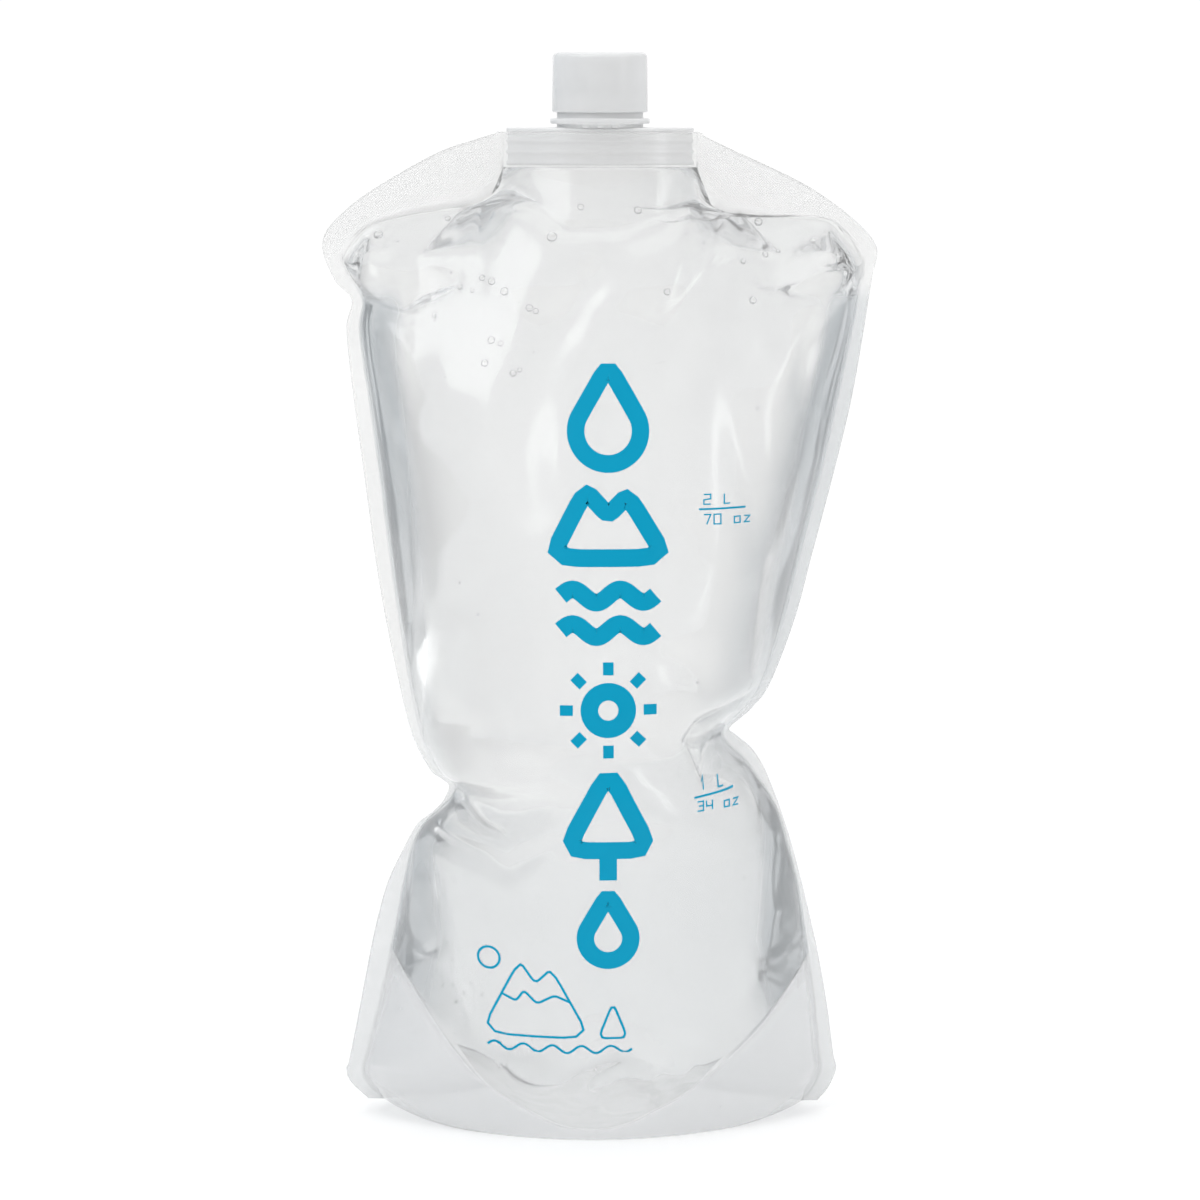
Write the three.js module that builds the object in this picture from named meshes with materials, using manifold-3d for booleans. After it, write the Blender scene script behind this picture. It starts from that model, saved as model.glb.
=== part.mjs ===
// A stand-up drinking pouch of two litres, drawn full of water and standing on its base.
// Two clear film panels are welded round their edges, with a folded gusset sheet as the bottom,
// a moulded spout welded between their tops, and a screw cap with a sealing disc.
// Millimetres, +Z up, the front faces -Y. The origin is under the middle, on the ground.

import * as THREE from "three";
import { ParametricGeometry } from "three/addons/geometries/ParametricGeometry.js";
import { mergeVertices } from "three/addons/utils/BufferGeometryUtils.js";
import Module from "manifold-3d";

const wasm = await Module();
wasm.setup();

// ---------------------------------------------------------------- driving dimensions

const pouch = {
  width: 174.8, // over both seals at the shoulders
  height: 302.7, // from the ground to the underside of the spout
};

const film = {
  thickness: 0.8, // thicker than real film, so that the sheets are solids
  gap: 0.3, // between two sheets that are welded together
  columns: 18, // facets across a panel
  rowsPerStation: 2,
};

// The filled shape, as level sections from the base to the top edge. A section runs from the left
// edge of the seal to the left weld, round the water to the right weld, and out to the right edge.
// Each pair is x and z; depth is half the thickness at the middle, and a point of 1 is a round
// section and 2 a lens with sharp ends. They are drawn for one width and one height, and are
// stretched to the pouch's own.
const drawn = { width: 176.8, height: 301.2 };
const drawnSections = [
  { left: [-74, 4.5], leftWeld: [-68.5, 4], rightWeld: [64.5, 4], right: [70, 4.5], depth: 45, point: 1.8 },
  { left: [-81, 14.5], leftWeld: [-74, 15.5], rightWeld: [69, 15.5], right: [75.6, 14.5], depth: 46.5, point: 1.6 },
  { left: [-76.3, 37], leftWeld: [-70, 37], rightWeld: [66.2, 36], right: [72.4, 35], depth: 49, point: 1.3 },
  { left: [-71.5, 60], leftWeld: [-65, 60], rightWeld: [61, 60], right: [67.6, 61], depth: 52, point: 1.1 },
  { left: [-63.5, 84], leftWeld: [-57, 83], rightWeld: [55, 86], right: [61.2, 87], depth: 54.5, point: 1 },
  { left: [-53.5, 96], leftWeld: [-47, 95.5], rightWeld: [49, 103], right: [55, 104.5], depth: 56, point: 1 },
  { left: [-48.5, 105], leftWeld: [-43.5, 105.5], rightWeld: [43, 114.5], right: [49, 116], depth: 57, point: 1 },
  { left: [-57, 115], leftWeld: [-51, 117], rightWeld: [37, 122.5], right: [42, 122.6], depth: 57.5, point: 1 },
  { left: [-62.5, 131], leftWeld: [-56, 133], rightWeld: [46.5, 134], right: [53, 133.5], depth: 57, point: 1 },
  { left: [-68.5, 158], leftWeld: [-62.5, 158], rightWeld: [57, 158], right: [63, 160], depth: 54, point: 1 },
  { left: [-75.2, 202], leftWeld: [-69.2, 202], rightWeld: [68, 203], right: [74.7, 206], depth: 44.5, point: 1 },
  { left: [-79.5, 240], leftWeld: [-73.5, 240], rightWeld: [75.5, 238], right: [82, 240], depth: 34, point: 1 },
  { left: [-79.4, 259], leftWeld: [-74.5, 258], rightWeld: [79, 256], right: [85.6, 259], depth: 29, point: 1.1 },
  { left: [-88.4, 279], leftWeld: [-77, 273], rightWeld: [80.5, 269], right: [88.4, 277], depth: 24.5, point: 1.25 },
  { left: [-80.5, 289], leftWeld: [-62, 283.5], rightWeld: [66, 281.5], right: [79, 288.5], depth: 20, point: 1.45 },
  { left: [-67, 299], leftWeld: [-43, 290.5], rightWeld: [45, 289.5], right: [66, 297.5], depth: 16, point: 1.7 },
];

const spout = {
  bore: 21.7,
  neckWall: 1.6, // at the root of the thread
  neckHeight: 20.4, // from the weld body to the mouth
  collarStep: 1.15, // from the neck out to the collar
  collarHeight: 6.7,
  collarFlare: 1, // the cone that joins the collar to the weld body, inside the body
  ringReach: 2.1, // from the collar out to the ring's edge
  ringBottom: 1.2, // above the weld body
  ringThickness: 1.7,
  bodyLength: 59, // tip to tip of the boat-shaped weld body
  bodyWall: 1.75, // beside the bore
  bodyHeight: 11.7,
  weldRibs: 4,
  ribHeight: 1.4,
  ribDepth: 0.45,
  chamfer: 0.4,
  facets: 40,
};

const thread = {
  pitch: 3.18,
  turns: 1.75,
  stepsPerTurn: 24,
  ridgeRoot: 1.7, // axial width of a ridge where it leaves its wall
  ridgeCrest: 0.7,
  depth: 1.25, // of the neck's ridge above the neck
  crestGap: 0.35, // from the neck's ridge to the cap's wall
  rootGap: 0.45, // from the cap's ridge to the neck
  belowMouth: 3.4, // from the mouth to the middle of the neck ridge's upper end
  rootInWall: 0.35, // how far a ridge is sunk into its wall
  taperTurns: 0.2, // each ridge runs out over this share of a turn
};

const cap = {
  wall: 1.1,
  draft: 0.25, // how much smaller its radius is at the top than at the skirt
  top: 1.5,
  edgeRadius: 1.8,
  clearOfRing: 1.9,
  chamfer: 0.4,
  facets: 40,
};

const disc = { thickness: 1.2, gap: 0.3, clearOfCap: 0.55 };

const gusset = {
  sideHeight: 54, // where its fold ends at the side welds
  middleHeight: 5,
  span: 0.93, // share of the section's quarter turn that it reaches to each side
  sag: 3,
  columns: 14,
  skirtRows: 4,
  crossRows: 8,
};

const footFlat = 0.6; // share of the half width over which the foot touches the ground

// ---------------------------------------------------------------- values worked out from them

const bodyBottom = pouch.height;
const bodyTop = bodyBottom + spout.bodyHeight;
const mouth = bodyTop + spout.neckHeight;
const neckRadius = spout.bore / 2 + spout.neckWall;
const collarRadius = neckRadius + spout.collarStep;
const ringRadius = collarRadius + spout.ringReach;
const crestRadius = neckRadius + thread.depth;
const bodyThickness = spout.bore + 2 * spout.bodyWall;
const capInside = crestRadius + thread.crestGap;
const discRadius = capInside - disc.clearOfCap;
const filmRound = bodyThickness / 2 + film.gap; // half the depth between panels at the spout
const bodyEnd = spout.bodyLength / 2 + 3 * film.gap;
const topEdge = bodyTop - spout.collarFlare - film.gap;

const stretched = ([x, z]) => [
  (x * pouch.width) / drawn.width,
  (z * pouch.height) / drawn.height,
];
const sections = drawnSections.map((section) => ({
  ...section,
  left: stretched(section.left),
  leftWeld: stretched(section.leftWeld),
  rightWeld: stretched(section.rightWeld),
  right: stretched(section.right),
}));
// The last two sections wrap the spout's weld body, so they take its sizes.
sections.push(
  {
    left: [-bodyEnd - 19, bodyBottom + 6.8], leftWeld: [-bodyEnd, bodyBottom - 1],
    rightWeld: [bodyEnd, bodyBottom - 1], right: [bodyEnd + 19, bodyBottom + 5.3],
    depth: filmRound, point: 2,
  },
  {
    left: [-bodyEnd - 2.5, topEdge], leftWeld: [-bodyEnd, topEdge],
    rightWeld: [bodyEnd, topEdge], right: [bodyEnd + 2.5, topEdge],
    depth: filmRound, point: 2,
  },
);
const panelRows = film.rowsPerStation * (sections.length - 1);

// ---------------------------------------------------------------- solids

// A closed geometry as a manifold-3d solid. Triangles that merging has collapsed are left out.
function toSolid(geometry) {
  const bare = geometry.clone();
  bare.deleteAttribute("normal");
  bare.deleteAttribute("uv");
  const merged = mergeVertices(bare, 1e-4);
  const index = [...merged.index.array];
  const triVerts = [];
  for (let i = 0; i < index.length; i += 3) {
    const [a, b, c] = index.slice(i, i + 3);
    if (a !== b && b !== c && c !== a) triVerts.push(a, b, c);
  }
  return new wasm.Manifold(
    new wasm.Mesh({
      numProp: 3,
      vertProperties: merged.getAttribute("position").array,
      triVerts: new Uint32Array(triVerts),
    }),
  );
}

function toGeometry(solid) {
  const made = solid.getMesh();
  const geometry = new THREE.BufferGeometry();
  geometry.setAttribute("position", new THREE.BufferAttribute(made.vertProperties, 3));
  geometry.setIndex(new THREE.BufferAttribute(made.triVerts, 1));
  return geometry;
}

// A solid of revolution about Z. The profile lists radius and height, counter-clockwise, closed.
function turned(profile, facets) {
  const points = [...profile, profile[0]].map(([r, z]) => new THREE.Vector2(r, z));
  return new THREE.LatheGeometry(points, facets).rotateX(Math.PI / 2);
}

// The sheet between a surface and the same surface moved outwards by the film's thickness.
// flatRow says whether the first row is a cut edge that stands on the ground.
function filmSheet(surface, columns, rows, flatRow) {
  const skin = new ParametricGeometry(surface, columns, rows);
  skin.computeVertexNormals();
  const { position, normal } = skin.attributes;
  const count = position.count;
  const across = columns + 1;
  const both = new Float32Array(count * 6);
  const place = new THREE.Vector3();
  const out = new THREE.Vector3();
  for (let i = 0; i < count; i++) {
    place.fromBufferAttribute(position, i).toArray(both, 3 * i);
    out.fromBufferAttribute(normal, i);
    const onCutEdge = i < across || i >= count - across;
    if (flatRow && onCutEdge) out.setZ(0).normalize();
    place.addScaledVector(out, film.thickness).toArray(both, 3 * (count + i));
  }
  const index = [];
  const faces = skin.index.array;
  for (let i = 0; i < faces.length; i += 3) {
    const [a, b, c] = faces.slice(i, i + 3);
    index.push(a, c, b, count + a, count + b, count + c);
  }
  const rim = [];
  for (let u = 0; u < columns; u++) rim.push(u);
  for (let v = 0; v < rows; v++) rim.push(v * across + columns);
  for (let u = columns; u > 0; u--) rim.push(rows * across + u);
  for (let v = rows; v > 0; v--) rim.push(v * across);
  rim.forEach((a, i) => {
    const b = rim[(i + 1) % rim.length];
    index.push(a, b, count + b, a, count + b, count + a);
  });
  const sheet = new THREE.BufferGeometry();
  sheet.setAttribute("position", new THREE.BufferAttribute(both, 3));
  sheet.setIndex(index);
  return sheet;
}

// ---------------------------------------------------------------- the filled shape

const edgeCurve = (key) =>
  new THREE.CatmullRomCurve3(
    sections.map((s) => new THREE.Vector3(s[key][0], 0, s[key][1])),
    false,
    "centripetal",
  );
const edges = {
  left: edgeCurve("left"),
  leftWeld: edgeCurve("leftWeld"),
  rightWeld: edgeCurve("rightWeld"),
  right: edgeCurve("right"),
};
const fullness = new THREE.CatmullRomCurve3(
  sections.map((s) => new THREE.Vector3(s.depth, s.point, 0)),
);

// How far the foot's edge is lifted off the ground at a share of the half width, 0 to 1.
const footLift = (share) => Math.max(0, (share - footFlat) / (1 - footFlat)) ** 2;

// A point on the film's inner face: height runs 0 to 1 up the sections, and turn -90 to 90
// degrees from the left weld to the right one. inset moves it in towards the water.
function onFilm(side, height, turn, inset = 0) {
  const left = edges.leftWeld.getPoint(height);
  const right = edges.rightWeld.getPoint(height);
  const full = fullness.getPoint(height);
  const sine = Math.sin(turn);
  const place = new THREE.Vector3().lerpVectors(left, right, (1 + sine) / 2);
  place.x -= inset * sine;
  const cosine = Math.max(0, Math.cos(turn));
  place.y = side * (film.gap / 2 + full.x * cosine ** full.y - inset * cosine);
  const aboveFoot = Math.max(0, 1 - height * (sections.length - 1));
  place.z *= 1 - aboveFoot * (1 - footLift(Math.abs(sine)));
  return place;
}

// A panel's surface: its first and last columns are the flat seal outside the welds.
function panelSurface(side) {
  return (u, v, target) => {
    const column = Math.round(u * film.columns);
    const fromLeft = side < 0 ? column : film.columns - column;
    const share = (fromLeft - 1) / (film.columns - 2);
    if (share < 0 || share > 1) {
      target.copy((share < 0 ? edges.left : edges.right).getPoint(v));
      target.y = (side * film.gap) / 2;
    } else target.copy(onFilm(side, v, Math.PI * (share - 0.5)));
  };
}

// The gusset's surface: up the inside of the front skirt, across under the water, and down the
// inside of the back skirt. Its height at each turn follows the curved weld.
function gussetSurface(u, v, target) {
  const rows = 2 * gusset.skirtRows + gusset.crossRows;
  const row = Math.round(v * rows);
  const turn = gusset.span * Math.PI * (0.5 - u);
  const rise = 1 - Math.cos(turn);
  const weldHeight = gusset.middleHeight + (gusset.sideHeight - gusset.middleHeight) * rise;
  const inset = film.gap + film.thickness;
  const heightAt = (z) => {
    let low = 0;
    let high = 0.5;
    for (let i = 0; i < 24; i++) {
      const middle = (low + high) / 2;
      if (onFilm(-1, middle, turn, inset).z < z) low = middle;
      else high = middle;
    }
    return low;
  };
  const crossing = (row - gusset.skirtRows) / gusset.crossRows;
  if (crossing >= 0 && crossing <= 1) {
    const weld = onFilm(-1, heightAt(weldHeight), turn, inset);
    target.copy(weld);
    target.y *= 1 - 2 * crossing;
    target.z -= gusset.sag * Math.sin(Math.PI * crossing) * Math.cos(turn) ** 2;
    return;
  }
  const side = crossing < 0 ? -1 : 1;
  const climb = crossing < 0 ? row / gusset.skirtRows : (rows - row) / gusset.skirtRows;
  target.copy(onFilm(side, climb * heightAt(weldHeight), turn, inset));
}

// ---------------------------------------------------------------- the spout and the cap

// A helical ridge that tapers into its wall at both ends. rootRadius is inside the wall.
function threadRidge(rootRadius, crestRadius, upperEnd) {
  const steps = thread.turns * thread.stepsPerTurn;
  const corners = [
    [rootRadius, -thread.ridgeRoot / 2],
    [crestRadius, -thread.ridgeCrest / 2],
    [crestRadius, thread.ridgeCrest / 2],
    [rootRadius, thread.ridgeRoot / 2],
  ];
  const outward = crestRadius > rootRadius;
  const helix = (u, v, target) => {
    const corner = Math.round(u * corners.length) % corners.length;
    const [radius, rise] = corners[outward ? corners.length - 1 - corner : corner];
    const fromEnd = thread.turns * Math.min(v, 1 - v);
    const size = Math.min(1, fromEnd / thread.taperTurns);
    const angle = 2 * Math.PI * thread.turns * (v - 1);
    const reach = rootRadius + (radius - rootRadius) * size;
    target.set(
      reach * Math.cos(angle),
      reach * Math.sin(angle),
      upperEnd + thread.pitch * thread.turns * (v - 1) + rise * size,
    );
  };
  return toSolid(new ParametricGeometry(helix, corners.length, steps));
}

function boatOutline(length, thickness) {
  const shape = new THREE.Shape();
  shape.moveTo(-length / 2, 0);
  shape.quadraticCurveTo(0, -thickness, length / 2, 0);
  shape.quadraticCurveTo(0, thickness, -length / 2, 0);
  return shape;
}

function boatSlab(inset, bottom, height) {
  const outline = boatOutline(spout.bodyLength - 3 * inset, bodyThickness - 2 * inset);
  const slab = new THREE.ExtrudeGeometry(outline, { depth: height, bevelEnabled: false, curveSegments: 12 });
  return toSolid(slab.translate(0, 0, bottom));
}

function makeSpout() {
  let body = boatSlab(spout.ribDepth, bodyBottom, spout.bodyHeight);
  const step = (spout.bodyHeight - spout.ribHeight) / (spout.weldRibs - 1);
  for (let i = 0; i < spout.weldRibs; i++) {
    body = body.add(boatSlab(0, bodyBottom + i * step, spout.ribHeight));
  }
  const ringBottom = bodyTop + spout.ringBottom;
  const ringTop = ringBottom + spout.ringThickness;
  const collarTop = bodyTop + spout.collarHeight;
  const chamfer = spout.chamfer;
  const outside = toSolid(
    turned(
      [
        [0, bodyTop - spout.collarFlare],
        [collarRadius - spout.collarFlare, bodyTop - spout.collarFlare],
        [collarRadius, bodyTop],
        [collarRadius, ringBottom],
        [ringRadius - chamfer, ringBottom],
        [ringRadius, ringBottom + chamfer],
        [ringRadius, ringTop - chamfer],
        [ringRadius - chamfer, ringTop],
        [collarRadius, ringTop],
        [collarRadius, collarTop - spout.collarStep],
        [neckRadius, collarTop],
        [neckRadius, mouth - chamfer],
        [neckRadius - chamfer, mouth],
        [0, mouth],
      ],
      spout.facets,
    ),
  );
  const bore = toSolid(
    new THREE.CylinderGeometry(spout.bore / 2, spout.bore / 2, mouth, spout.facets)
      .rotateX(Math.PI / 2)
      .translate(0, 0, mouth),
  );
  const ridge = threadRidge(neckRadius - thread.rootInWall, crestRadius, mouth - thread.belowMouth);
  return toGeometry(body.add(outside).add(ridge).subtract(bore));
}

function makeCap() {
  const skirtBottom = bodyTop + spout.ringBottom + spout.ringThickness + cap.clearOfRing;
  const ceiling = mouth + 2 * disc.gap + disc.thickness;
  const capTop = ceiling + cap.top;
  const skirt = capInside + cap.wall;
  const shoulder = skirt - cap.draft;
  const round = Array.from({ length: 5 }, (_, i) => {
    const angle = (Math.PI / 8) * i;
    return [
      shoulder - cap.edgeRadius * (1 - Math.cos(angle)),
      capTop - cap.edgeRadius * (1 - Math.sin(angle)),
    ];
  });
  const shell = toSolid(
    turned(
      [
        [0, ceiling],
        [capInside - cap.chamfer, ceiling],
        [capInside, ceiling - cap.chamfer],
        [capInside, skirtBottom],
        [skirt - cap.chamfer, skirtBottom],
        [skirt, skirtBottom + cap.chamfer],
        ...round,
        [0, capTop],
      ],
      cap.facets,
    ),
  );
  // The cap's ridge lies half a pitch below the neck's, so it follows the neck's groove.
  const ridge = threadRidge(
    capInside + thread.rootInWall,
    neckRadius + thread.rootGap,
    mouth - thread.belowMouth - thread.pitch / 2,
  );
  return toGeometry(shell.add(ridge));
}

function makeDisc() {
  const bottom = mouth + disc.gap;
  return new THREE.CylinderGeometry(discRadius, discRadius, disc.thickness, cap.facets)
    .rotateX(Math.PI / 2)
    .translate(0, 0, bottom + disc.thickness / 2);
}

// ---------------------------------------------------------------- the pouch

const plastic = (color, roughness, opacity) =>
  new THREE.MeshStandardMaterial({
    color, roughness, metalness: 0, opacity, transparent: opacity < 1,
  });
const clearFilm = plastic(0xf0f0f1, 0.2, 0.35);
const mouldedSpout = plastic(0xe6e7e8, 0.35, 0.7);
const mouldedCap = plastic(0xe3e4e5, 0.35, 0.75);
const foamDisc = plastic(0xf4f4f2, 0.8, 1);

const bottle = new THREE.Group();

function addPart(name, geometry, material) {
  const mesh = new THREE.Mesh(geometry, material);
  mesh.name = name;
  bottle.add(mesh);
}

const gussetRows = 2 * gusset.skirtRows + gusset.crossRows;
addPart("front_panel", filmSheet(panelSurface(-1), film.columns, panelRows, true), clearFilm);
addPart("back_panel", filmSheet(panelSurface(1), film.columns, panelRows, true), clearFilm);
addPart("bottom_gusset", filmSheet(gussetSurface, gusset.columns, gussetRows, true), clearFilm);
addPart("spout", makeSpout(), mouldedSpout);
addPart("screw_cap", makeCap(), mouldedCap);
addPart("sealing_disc", makeDisc(), foamDisc);

export default bottle;
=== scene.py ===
import math
from functools import lru_cache

import bmesh
import bpy
import numpy as np
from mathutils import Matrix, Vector, noise
from mathutils.bvhtree import BVHTree


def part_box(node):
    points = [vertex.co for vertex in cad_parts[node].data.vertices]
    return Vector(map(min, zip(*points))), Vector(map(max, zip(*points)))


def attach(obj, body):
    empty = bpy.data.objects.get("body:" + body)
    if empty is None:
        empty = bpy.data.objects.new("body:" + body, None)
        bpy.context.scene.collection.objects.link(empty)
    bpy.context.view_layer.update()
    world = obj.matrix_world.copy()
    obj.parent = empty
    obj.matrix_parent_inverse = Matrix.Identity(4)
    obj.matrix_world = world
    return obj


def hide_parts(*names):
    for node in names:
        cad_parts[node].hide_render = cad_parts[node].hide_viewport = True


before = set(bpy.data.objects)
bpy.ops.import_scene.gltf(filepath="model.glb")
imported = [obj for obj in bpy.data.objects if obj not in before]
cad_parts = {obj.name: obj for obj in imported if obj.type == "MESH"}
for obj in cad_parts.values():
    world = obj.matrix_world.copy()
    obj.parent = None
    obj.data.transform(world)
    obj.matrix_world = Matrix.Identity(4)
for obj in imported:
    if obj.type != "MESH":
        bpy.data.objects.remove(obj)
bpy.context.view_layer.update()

bl_info = {
    "name": "Stand-up water pouch",
    "version": (1, 0, 0),
    "blender": (4, 5, 0),
    "location": "3D View > Sidebar > Pouch",
    "description": "Film, water, print, spout and cap of a two-litre stand-up drinking pouch",
    "category": "Add Mesh",
}

MM = 0.001
PANEL_LOW, PANEL_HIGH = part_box("front_panel")
SPOUT_LOW, SPOUT_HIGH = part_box("spout")
CAP_LOW, CAP_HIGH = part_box("screw_cap")
DISC_LOW, DISC_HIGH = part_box("sealing_disc")
POUCH, LINER, CAP = "pouch", "liner", "cap"

# ---------------------------------------------------------------- the filled shape

# Level stations from the foot to the top edge, in millimetres: the left edge of the seal, the left
# weld, the right weld and the right edge, each as x and z, then half the depth and the point of the
# section, where 1 is round and 2 a lens with sharp ends.
STATIONS = [
    ((-74.3, 3.5), (-69, 3.5), (64.5, 2.8), (69.8, 2.8), 46, 1.8),
    ((-80.1, 9), (-74.5, 9), (68.3, 7.5), (73.4, 7.1), 46.3, 1.75),
    ((-81.4, 13.3), (-75.5, 14), (70.6, 13.5), (75.9, 13.3), 46.8, 1.7),
    ((-80.4, 16.5), (-74.5, 18), (69.8, 18.5), (74.9, 18), 47.2, 1.65),
    ((-76.4, 36.8), (-69.8, 36), (68.5, 34), (72.9, 33.5), 49, 1.6),
    ((-73.4, 52.4), (-66.3, 50.5), (66.4, 49.5), (69.6, 52), 51, 1.55),
    ((-71.2, 62.2), (-63.9, 62), (64.8, 62), (67.3, 62.2), 52.3, 1.4),
    ((-67.9, 73.8), (-61.8, 74), (62.6, 76), (64.5, 74), 53.5, 1.3),
    ((-63, 84.2), (-59.3, 86.5), (59.6, 88), (61.1, 86.8), 54.5, 1.22),
    ((-58.5, 92.3), (-56, 92.8), (57, 96.5), (57.8, 97), 55.2, 1.16),
    ((-53.4, 96.5), (-51.5, 97), (53.8, 102.5), (55, 104.6), 55.7, 1.12),
    ((-49.8, 100.5), (-47.7, 101), (49.8, 108), (51.8, 111.8), 56, 1.1),
    ((-48.2, 105), (-46.2, 104.6), (45.5, 113.5), (48, 117.3), 56.3, 1.1),
    ((-50.8, 107.5), (-48.3, 107.5), (40.5, 118.2), (43, 121.4), 56.5, 1.1),
    ((-54, 110.1), (-51.3, 110.5), (39, 122.5), (41.3, 123.4), 56.5, 1.1),
    ((-58.7, 118.8), (-55.6, 119), (42.5, 126.8), (45, 126.8), 56.3, 1.12),
    ((-61.3, 126.8), (-57.8, 127), (46.8, 131.3), (48.8, 130.4), 56, 1.15),
    ((-64.1, 139), (-60.2, 139), (51.5, 138.5), (54.2, 138), 55.3, 1.15),
    ((-68.1, 158.3), (-63.2, 158.3), (57.9, 158.3), (62, 158.8), 53, 1.18),
    ((-71.2, 177), (-65.7, 177), (62.6, 177.5), (67, 178), 50, 1.18),
    ((-74.6, 203), (-68.8, 203), (68.7, 203), (73.4, 203), 45, 1.18),
    ((-77.9, 228.4), (-72.2, 228.4), (74.2, 228), (79.5, 228.4), 38, 1.18),
    ((-80, 250.6), (-75.2, 250), (79, 250), (83.3, 250), 31.5, 1.18),
    ((-78.4, 260.1), (-74.4, 260), (81.3, 262.5), (84.7, 259.5), 30.5, 1.18),
    ((-84, 266.7), (-79.4, 268.5), (83.2, 269.5), (86.1, 268), 29.5, 1.18),
    ((-87.4, 279), (-80.6, 274.5), (81.5, 275), (87.2, 276.8), 28.5, 1.2),
    ((-78.2, 290), (-72.9, 283.1), (72, 285.4), (79.5, 285.8), 26.5, 1.25),
    ((-62, 300.5), (-56.5, 287.5), (50, 286.4), (66, 295.5), 25.5, 1.3),
    ((-50, 306.8), (-40.1, 290.2), (37, 288.8), (52, 302.5), 24.5, 1.4),
    ((-41, 309.9), (-31.8, 295.7), (31.4, 295), (42, 307), 22, 1.6),
    ((-33.5, 312.2), (-30.4, 302.7), (30.4, 302.7), (33.5, 311.2), 15, 2),
    ((-32.5, 312.9), (-30.4, 312.9), (30.4, 312.9), (32.5, 312.3), 13.1, 2),
]
DRAWN_WIDTH = 174.6
DRAWN_HEIGHT = 312.9
WELD_STATION = 5  # where the gusset's fold ends at the side welds
WATER_STATION = 29.9  # the water's surface, just under the spout
TOP_STATION = len(STATIONS) - 1
WELD_MIDDLE = 4.1 * MM  # height of the gusset's weld at the middle of the front
FOOT_FLAT = 0.6  # share of the half width over which the foot touches the ground

# The weld over the shoulders and under the spout, as x and z, and the film's half depth and half
# width round the spout's body.
SHOULDER = np.array([
    (-80.6, 274.5), (-72.9, 283.1), (-56.5, 287.5), (-44, 289.6), (-37, 292), (-31, 296.5),
    (-25, 300.5), (-18, 302.7), (18, 302.7), (25, 300), (31, 295), (37, 290.5), (44, 287.8),
    (50, 286.4), (72, 285.4), (81.5, 275),
]).T * MM
SPOUT_DEPTH = 13.1 * MM
SPOUT_REACH = 30.4 * MM

PUCKER = 0.4 * MM  # along the side welds
DENT = 0.8 * MM  # broad and soft
RIPPLE = 0.12 * MM  # fine

COLUMNS = 150  # facets across a panel between its welds
FLANGE_SHARES = (0, 0.04, 0.07, 0.25, 0.5, 0.75)  # from the cut edge to the weld
FLANGE_COLUMNS = len(FLANGE_SHARES)
SKIRT_ROWS = 14
BODY_ROWS = 210
NECK_ROWS = 10
CROSS_ROWS = 60

# Creases and soft folds of the front film, in millimetres: their points as x and z, the depth (in is
# positive), the half width, and the sharpness, where 1 is a V and 2 a round trough.
FRONT_FOLDS = [
    (((-76, 261), (-66, 258), (-58, 256)), 3.2, 3.2, 1.0),
    (((-59, 256), (-57, 242), (-56, 222)), 1.3, 5, 1.6),
    (((-69, 273), (-56, 268), (-42, 266)), 1.6, 6, 2),
    (((84, 271), (69, 268), (57, 262)), -2.2, 4, 1.2),
    (((80, 262), (66, 246), (63, 225)), 2.4, 5, 1.5),
    (((-26, 296), (-18, 289), (-10, 283), (8, 284), (27, 291)), 1.6, 3, 1.4),
    (((30, 297), (36, 280), (33, 262)), 1.4, 4, 1.6),
    (((27, 290), (20, 283), (10, 279)), 1.2, 3, 1.5),
    (((5, 276), (-7, 262), (-16, 248)), 2.2, 8, 2),
    (((10, 258), (20, 253), (26, 262), (31, 272)), 1.6, 4, 1.6),
    (((31, 263), (26, 244), (12, 232)), 1.6, 6, 1.8),
    (((-20, 238), (-24, 215), (-18, 190)), 1.6, 10, 2),
    (((40, 236), (45, 210), (52, 176), (46, 150)), 2.2, 7, 1.8),
    (((20, 205), (25, 180), (22, 160)), 1.4, 9, 2),
    (((-54, 107), (-45, 101), (-38, 98), (-31, 96)), 5.5, 2.8, 1.0),
    (((-46, 104), (-40, 104.5), (-32, 102), (-24, 103), (-19, 108)), 1.5, 5, 1.6),
    (((-19, 108), (-22, 115), (-30, 124), (-35, 139), (-38, 168)), 0.7, 7, 2),
    (((-58, 97), (-50, 94), (-42, 91), (-36, 90)), 2.4, 3, 1.2),
    (((-40, 90), (-29, 85), (-17, 93)), 1.6, 3, 1.6),
    (((48, 136), (40, 132), (32, 129), (29, 124), (34, 117), (43, 110)), 3.4, 3, 1.1),
    (((46, 128), (41, 124), (36, 120), (33, 112)), 3.6, 2.8, 1.0),
    (((37, 137), (30, 148), (18, 152)), 1.6, 5, 1.8),
    (((47, 119), (51, 107), (54, 92)), 2.0, 4, 1.6),
    (((-56, 90), (-51, 78), (-48, 62), (-47, 45), (-39, 28)), 1.8, 5, 1.6),
    (((54, 86), (52, 66), (50, 48), (44, 30)), 1.6, 6, 1.8),
    (((-36, 29), (-21, 28), (-9, 25)), 1.4, 3, 1.4),
    (((-12, 17), (-4, 24), (7, 27), (25, 18)), 4.2, 3.6, 1.2),
    (((-3, 10), (0, 16), (8, 19), (17, 17), (22, 10), (17, 5)), 3.4, 2.2, 1.1),
    (((-64, 205), (-60, 175), (-55, 150), (-50, 128)), 0.7, 8, 2),
]
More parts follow.
